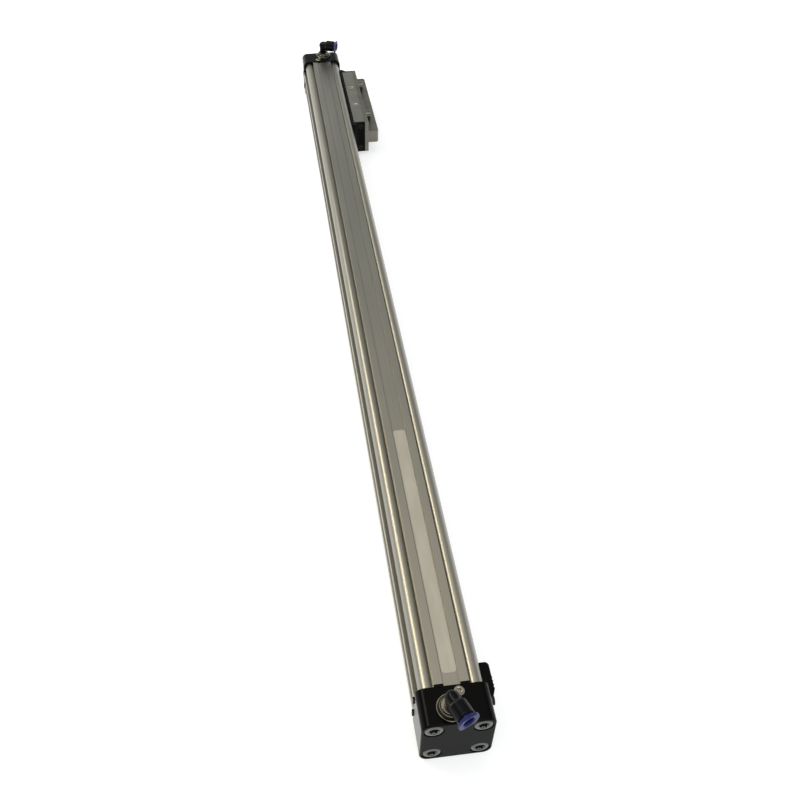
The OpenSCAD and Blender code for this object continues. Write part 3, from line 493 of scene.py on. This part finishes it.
def grown(name, tree, values):
    """A plain mesh made by a geometry tree with these values, in metres, for its named inputs."""
    piece = placed(name, bpy.data.meshes.new(name))
    modifier = piece.modifiers.new("tree", "NODES")
    modifier.node_group = tree
    for socket in tree.interface.items_tree:
        if socket.in_out == "INPUT" and socket.name in values:
            modifier[socket.identifier] = values[socket.name]
    piece = settled(piece)
    shape = bmesh.new()
    shape.from_mesh(piece.data)
    bmesh.ops.remove_doubles(shape, verts=shape.verts, dist=WELD * MM)
    bmesh.ops.recalc_face_normals(shape, faces=shape.faces)
    shape.to_mesh(piece.data)
    shape.free()
    return piece


def extrusion_tree():
    """Rounds the corners of a section, fills it and extrudes it along Y."""
    tree, given = new_tree("extrusion", [
        ("Section", "NodeSocketObject"), ("Edge radius", "NodeSocketFloat"),
        ("Start", "NodeSocketFloat"), ("Length", "NodeSocketFloat"), ("Material", "NodeSocketMaterial")])
    section = add(tree, "GeometryNodeObjectInfo", None, {"Object": given["Section"]})
    rounded = add(tree, "GeometryNodeFilletCurve", {"mode": "POLY"},
                  {"Curve": section.outputs["Geometry"], "Radius": given["Edge radius"],
                   "Limit Radius": True, "Count": FILLET_STEPS})
    face = add(tree, "GeometryNodeFillCurve", None, {"Curve": rounded.outputs["Curve"]})
    pulled = add(tree, "GeometryNodeExtrudeMesh", None,
                 {"Mesh": face.outputs["Mesh"], "Offset Scale": given["Length"], "Individual": False})
    back = add(tree, "GeometryNodeFlipFaces", None, {"Mesh": face.outputs["Mesh"]})
    whole = add(tree, "GeometryNodeJoinGeometry")
    tree.links.new(pulled.outputs["Mesh"], whole.inputs["Geometry"])
    tree.links.new(back.outputs["Mesh"], whole.inputs["Geometry"])
    start = add(tree, "ShaderNodeCombineXYZ", None, {"Y": given["Start"]})
    laid = add(tree, "GeometryNodeTransform", None,
               {"Geometry": whole.outputs["Geometry"], "Translation": start.outputs["Vector"],
                "Rotation": (math.radians(-90), 0, 0)})
    end_tree(tree, laid.outputs["Geometry"], given["Material"])
    return tree


EXTRUSION = extrusion_tree()


def extruded(name, loops, edge, node):
    """A section of closed loops in X and Z drawn out over a node's whole length, in its place."""
    low, high = corners(node)
    section = outline_object(name + "_section", [[(x, -z) for x, z in loop] for loop in loops])
    piece = grown(name, EXTRUSION, {
        "Section": section, "Edge radius": edge * MM, "Start": low.y * MM,
        "Length": (high.y - low.y) * MM, "Material": FINISHES[SLOT_OF[node]]})
    bpy.data.objects.remove(section)
    stand_in(shade(piece), node)


def tube():
    """The slotted tube, drawn with its own section so that every long edge has its small radius."""
    holes = [circle((sx * BOLT_AT, sz * BOLT_AT), BOLT_HOLE_R) for sx in (1, -1) for sz in (1, -1)]
    extruded("tube", [tube_outline()] + holes, TUBE_EDGE_R, "barrel")


def outer_band_strip():
    """The outer band, straight all the way, so that it looks right wherever the carriage stands."""
    loop = [(SEAT_X, BAND_HALF), (SEAT_X + BAND_T, BAND_HALF),
            (SEAT_X + BAND_T, -BAND_HALF), (SEAT_X, -BAND_HALF)]
    extruded("outer_band_strip", [loop], BAND_EDGE_R, "outer_band")


tube()
outer_band_strip()

# ---------------------------------------------------------------- turned parts


def turned_tree():
    """Turns a half outline (radius in X, height in Y) round Z, presses a socket into the points whose
    radius lies in the socket's range, and sets the result on every place."""
    tree, given = new_tree("turned", [
        ("Outline", "NodeSocketObject"), ("Places", "NodeSocketObject"), ("Steps", "NodeSocketInt"),
        ("Lobes", "NodeSocketInt"), ("Lobe depth", "NodeSocketFloat"), ("Flat", "NodeSocketFloat"),
        ("Socket from", "NodeSocketFloat"), ("Socket to", "NodeSocketFloat"),
        ("Turn", "NodeSocketRotation"), ("Material", "NodeSocketMaterial")])
    outline = add(tree, "GeometryNodeObjectInfo", None, {"Object": given["Outline"]}).outputs["Geometry"]
    size = add(tree, "GeometryNodeAttributeDomainSize", {"component": "CURVE"}, {"Geometry": outline})
    sample = add(tree, "GeometryNodeSampleIndex", {"data_type": "FLOAT_VECTOR", "domain": "POINT"},
                 {"Geometry": outline, "Value": add(tree, "GeometryNodeInputPosition").outputs[0]})
    point = add(tree, "ShaderNodeSeparateXYZ", None, {"Vector": sample.outputs[0]}).outputs
    known = {
        "steps": given["Steps"], "lobes": given["Lobes"], "lobe depth": given["Lobe depth"],
        "flat": given["Flat"], "socket from": given["Socket from"], "socket to": given["Socket to"],
        "index": add(tree, "GeometryNodeInputIndex").outputs["Index"],
        "point count": size.outputs["Point Count"], "outline radius": point["X"]}
    # Each row is one sum: its name, what is done, and the names or numbers that it is done to
    sums = [
        # The sheet has a column of the outline's points for each step of the turn, and one to close it
        ("columns", "ADD", "steps", 1),
        ("row", "MODULO", "index", "point count"),
        ("columns passed", "DIVIDE", "index", "point count"),
        ("column", "FLOOR", "columns passed"),
        ("share of a turn", "DIVIDE", "column", "steps"),
        ("angle", "MULTIPLY", "share of a turn", 2 * math.pi),
        # Width of a lobed socket at this angle, as a share of the outline's radius
        ("lobe angle", "MULTIPLY", "angle", "lobes"),
        ("wave", "COSINE", "lobe angle"),
        ("lobed", "MULTIPLY_ADD", "wave", "lobe depth", 1.0),
        # Width of a socket with flat sides
        ("side", "DIVIDE", 2 * math.pi, "lobes"),
        ("half side", "MULTIPLY", "side", 0.5),
        ("past corner", "MODULO", "angle", "side"),
        ("off middle", "SUBTRACT", "past corner", "half side"),
        ("middle reach", "COSINE", "half side"),
        ("slant", "COSINE", "off middle"),
        ("sided", "DIVIDE", "middle reach", "slant"),
        # One of the two, as flat says
        ("not flat", "SUBTRACT", 1.0, "flat"),
        ("lobed part", "MULTIPLY", "lobed", "not flat"),
        ("sided part", "MULTIPLY", "sided", "flat"),
        ("pressed", "ADD", "lobed part", "sided part"),
        # Points outside the socket's range keep the outline's radius
        ("above", "GREATER_THAN", "outline radius", "socket from"),
        ("below", "LESS_THAN", "outline radius", "socket to"),
        ("inside", "MULTIPLY", "above", "below"),
        ("change", "SUBTRACT", "pressed", 1.0),
        ("change here", "MULTIPLY", "inside", "change"),
        ("scale", "ADD", "change here", 1.0),
        ("radius", "MULTIPLY", "outline radius", "scale"),
        ("cosine", "COSINE", "angle"),
        ("sine", "SINE", "angle"),
        ("x", "MULTIPLY", "radius", "cosine"),
        ("y", "MULTIPLY", "radius", "sine"),
    ]
    for name, operation, *terms in sums:
        inputs = {socket: known.get(term, term) for socket, term in enumerate(terms)}
        known[name] = add(tree, "ShaderNodeMath", {"operation": operation}, inputs).outputs[0]
    tree.links.new(known["row"], sample.inputs["Index"])
    sheet = add(tree, "GeometryNodeMeshGrid", None,
                {"Vertices X": known["columns"], "Vertices Y": known["point count"]})
    place = add(tree, "ShaderNodeCombineXYZ", None, {"X": known["x"], "Y": known["y"], "Z": point["Y"]})
    body = add(tree, "GeometryNodeSetPosition", None,
               {"Geometry": sheet.outputs["Mesh"], "Position": place.outputs[0]})
    shut = add(tree, "GeometryNodeMergeByDistance", None,
               {"Geometry": body.outputs["Geometry"], "Distance": WELD * MM})
    places = add(tree, "GeometryNodeObjectInfo", None, {"Object": given["Places"]}).outputs["Geometry"]
    copies = add(tree, "GeometryNodeInstanceOnPoints", None,
                 {"Points": places, "Instance": shut.outputs["Geometry"], "Rotation": given["Turn"]})
    end_tree(tree, copies.outputs["Instances"], given["Material"])
    return tree


TURNED = turned_tree()
# Turns in degrees that point a piece's own Z up, towards the far or the near end, or out of the slot
UP = (0, 0, 0)
FAR = (-90, 0, 0)
NEAR = (90, 0, 0)
OUT = (0, 90, 0)


def turned(name, outline, places, turn, nodes, steps=48, lobe_depth=0.0, flat=0.0, socket=(0.0, 0.0)):
    """Turned pieces at each place, in millimetres, that stand for the nodes.

    Their sockets have six lobes of lobe_depth, or are hexagons where flat is 1; socket is the range
    of radii in the outline that it shapes.
    """
    profile = outline_object(name + "_outline", [outline], cyclic=False)
    spots = placed(name + "_places", bpy.data.meshes.new(name + "_places"))
    spots.data.from_pydata([Vector(p) * MM for p in places], [], [])
    piece = grown(name, TURNED, {
        "Outline": profile, "Places": spots, "Steps": steps, "Lobes": SOCKET_LOBES,
        "Lobe depth": lobe_depth, "Flat": flat,
        "Socket from": socket[0] * MM, "Socket to": socket[1] * MM,
        "Turn": Euler([math.radians(t) for t in turn]), "Material": FINISHES[SLOT_OF[nodes[0]]]})
    bpy.data.objects.remove(profile)
    bpy.data.objects.remove(spots)
    stand_in(shade(piece, TURNED_SMOOTH_BELOW), *nodes)


def thread(radius, depth, pitch, start, end):
    """Thread ridges as seen in a hole's or a shank's half outline, from start to end along the axis."""
    step = math.copysign(pitch / 2, end - start)
    count = int(abs(end - start) / (pitch / 2))
    return [(radius + (depth if i % 2 else 0), start + i * step) for i in range(count)]


def cap_screw_outline():
    """Cap screw with an M5 thread inside its head, a six-lobed socket and a conical rim."""
    hole_r = 2.1
    ridges = thread(radius=hole_r, depth=0.3, pitch=0.8, start=-10.8, end=-2.6)
    threaded_hole = [(0, -11.0), (hole_r, -11.0)] + ridges + [(hole_r, -2.4)]
    socket = [(2.62, -2.4), (2.75, -2.4), (2.75, -0.95), (2.95, -0.4), (3.25, -0.03), (3.4, 0)]
    rim = [(4.1, -0.02), (4.25, -0.09), (4.4, -0.04), (4.7, -0.12), (5.05, -0.3),
           (5.25, -0.5), (5.3, -0.6), (5.3, -0.8)]
    shank = [(4.2, -0.8), (4.2, -12.0), (2.28, -12.0), (2.28, -38.0), (0, -38.0)]
    return threaded_hole + socket + rim + shank


def cap_screws():
    """Four screws in the face of each end cap."""
    for end, turn in (("near", NEAR), ("far", FAR)):
        low, high = corners(end + "_cap_screws")
        face = low.y if end == "near" else high.y
        spots = [(sx * BOLT_AT, face, sz * BOLT_AT) for sx in (-1, 1) for sz in (-1, 1)]
        turned(end + "_socket_screws", cap_screw_outline(), spots, turn, [end + "_cap_screws"],
               steps=72, lobe_depth=0.09, socket=(2.7, 2.8))


def bar_screws():
    """Cylinder-head screws of the driver bar, with hexagon sockets."""
    head_r = 4.2
    socket = [(0, -2.8), (1.9, -2.8), (2.3, -2.6), (2.3, -0.15)]
    head = [(2.55, 0), (3.7, 0), (3.95, -0.08), (4.15, -0.3), (head_r, -0.6), (head_r, -5.0)]
    ridges = thread(radius=2.3, depth=0.2, pitch=0.8, start=-9, end=-14)
    shank = [(2.5, -5.0)] + ridges + [(0, -14.6)]
    low, high = corners("driver_bar_screws")
    spots = [(high.x, y, z) for y in (low.y + head_r, high.y - head_r)
             for z in (low.z + head_r, high.z - head_r)]
    turned("bar_socket_screws", socket + head + shank, spots, OUT, ["driver_bar_screws"],
           flat=1.0, socket=(2.2, 2.4))


def fitting_studs():
    """Nickel-plated studs: dished flange, two steps with a groove between, and the elbow's neck."""
    reach = 7.4
    ridges = thread(radius=4.45, depth=0.4, pitch=0.9, start=-7.0, end=-0.6)
    threaded_end = [(1.6, -reach), (4.3, -reach)] + ridges + [(4.85, -0.3)]
    flange = [(4.85, 0.02), (7.7, 0.02), (7.9, 0.1), (7.95, 0.25), (7.95, 1.3), (7.9, 1.5),
              (7.75, 1.6), (7.5, 1.6)]
    dish = [(7.35, 1.5), (6.4, 0.6), (6.3, 0.6)]
    lower_step = [(6.3, 2.7), (6.2, 2.9), (6.05, 3.0), (5.9, 2.9)]
    groove = [(5.4, 2.2), (5.3, 2.2)]
    upper_step = [(5.3, 4.15), (5.2, 4.35), (5.05, 4.4)]
    neck = [(2.75, 4.4), (2.75, 9.3), (2.45, 9.6), (1.6, 9.6), (1.6, -reach)]
    outline = threaded_end + flange + dish + lower_step + groove + upper_step + neck
    nodes = ["near_fitting_stud", "far_fitting_stud"]
    spots = []
    for node in nodes:
        low, high = corners(node)
        spots.append(((low.x + high.x) / 2, (low.y + high.y) / 2, low.z + reach))
    turned("fitting_studs", outline, spots, UP, nodes, steps=64)


def cushion_screws():
    """Adjusting screws: a hexagon socket, a thin rim that stands proud, and a narrow tip."""
    proud = 0.9
    socket = [(0, -0.8), (1.2, -0.8), (1.45, -0.7), (1.45, 0.75)]
    rim = [(1.6, proud), (2.45, proud), (2.75, 0.7), (2.95, 0.45), (2.95, 0.05)]
    shank = [(2.5, 0.02), (2.5, -4.4), (0.85, -4.4), (0.35, -6.2), (0, -6.2)]
    for end in ("near", "far"):
        low, high = corners(end + "_cushion_screw")
        spot = ((low.x + high.x) / 2, (low.y + high.y) / 2, high.z - proud)
        turned(end + "_cushion_adjuster", socket + rim + shank, [spot], UP, [end + "_cushion_screw"],
               flat=1.0, socket=(1.4, 1.5))


cap_screws()
bar_screws()
fitting_studs()
cushion_screws()

# ---------------------------------------------------------------- floor, light and camera

# Half of the floor's side in metres, and how strongly it glows where the camera sees it
FLOOR_HALF = 6.0
FLOOR_LIFT = 0.62


def seen(tree):
    """1 for the rays that show a thing directly, mirrored or through a clear surface, otherwise 0."""
    path = add(tree, "ShaderNodeLightPath").outputs
    shown = add(tree, "ShaderNodeMath", {"operation": "MAXIMUM"},
                {0: path["Is Camera Ray"], 1: path["Is Glossy Ray"]})
    return add(tree, "ShaderNodeMath", {"operation": "MAXIMUM"},
               {0: shown.outputs[0], 1: path["Is Transmission Ray"]}).outputs[0]


def studio_floor():
    """Pale floor under the tube that shows white but for the object's shadow."""
    z = corners("barrel")[0].z * MM
    square = [(-FLOOR_HALF, -FLOOR_HALF, z), (FLOOR_HALF, -FLOOR_HALF, z),
              (FLOOR_HALF, FLOOR_HALF, z), (-FLOOR_HALF, FLOOR_HALF, z)]
    data = bpy.data.meshes.new("floor")
    data.from_pydata(square, [], [(0, 1, 2, 3)])
    floor = placed("floor", data)
    material, tree, shader = new_finish("pale_floor", "#C4C7CC", metallic=0.0, roughness=0.9, ior=1.5)
    shader.inputs["Emission Color"].default_value = linear("#FFFFFF")
    lift = add(tree, "ShaderNodeMath", {"operation": "MULTIPLY"}, {0: seen(tree), 1: FLOOR_LIFT})
    tree.links.new(lift.outputs[0], shader.inputs["Emission Strength"])
    data.materials.append(material)


def studio_world():
    """White round the horizon, grey above it and warm white overhead."""
    world = bpy.data.worlds.new("studio")
    bpy.context.scene.world = world
    world.use_nodes = True
    tree = world.node_tree
    tree.nodes.clear()
    way = add(tree, "ShaderNodeSeparateXYZ", None,
              {"Vector": add(tree, "ShaderNodeTexCoord").outputs["Generated"]})
    above_horizon = add(tree, "ShaderNodeMapRange", None,
                        {"Value": way.outputs["Z"], "From Min": 0.26, "From Max": 0.38})
    overhead = add(tree, "ShaderNodeMapRange", None,
                   {"Value": way.outputs["Z"], "From Min": 0.6, "From Max": 0.92})
    walls = add(tree, "ShaderNodeMix", {"data_type": "RGBA"},
                {0: above_horizon.outputs[0], 6: linear("#FFFFFF"), 7: linear("#A4AAAB")})
    room = add(tree, "ShaderNodeMix", {"data_type": "RGBA"},
               {0: overhead.outputs[0], 6: walls.outputs[2], 7: linear("#F6EFE2")})
    light = add(tree, "ShaderNodeBackground", None, {"Color": room.outputs[2], "Strength": 1.0})
    add(tree, "ShaderNodeOutputWorld", None, {"Surface": light.outputs[0]})


def lamp(name, place, aim, size, power, colour):
    """A rectangular lamp; place, aim and size are in metres."""
    data = bpy.data.lights.new(name, "AREA")
    data.shape = "RECTANGLE"
    data.size, data.size_y = size
    data.energy = power
    data.color = linear(colour)[:3]
    light = placed(name, data)
    light.location = place
    light.rotation_euler = (Vector(aim) - Vector(place)).to_track_quat("-Z", "Y").to_euler()


studio_floor()
studio_world()
lamp("ceiling_tube", place=(-1.3, 1.9, 2.0), aim=(-1.3, 1.9, 0.0), size=(1.0, 2.8),
     power=44, colour="#FFF3D6")
lamp("overhead_softbox", place=(0.5, -0.6, 2.4), aim=(0.0, 0.4, 0.0), size=(1.8, 1.8),
     power=12, colour="#FFFFFF")


def camera():
    """Looks along the cylinder from above its near end; tilt is down from the horizon."""
    eye = Vector((-73.6, -204.6, 482.4)) * MM
    heading = math.radians(-6.315)
    tilt = math.radians(45.255)
    roll = math.radians(-0.973)
    data = bpy.data.cameras.new("camera")
    data.sensor_width = 36.0
    data.lens = 40.77
    data.shift_x = 0.0522
    data.shift_y = -0.0091
    data.clip_start = 0.01
    view = placed("camera", data)
    view.matrix_world = (Matrix.Translation(eye) @ Matrix.Rotation(heading, 4, "Z")
                         @ Matrix.Rotation(math.pi / 2 - tilt, 4, "X") @ Matrix.Rotation(roll, 4, "Z"))
    bpy.context.scene.camera = view


camera()
bpy.context.scene.view_settings.view_transform = "Standard"
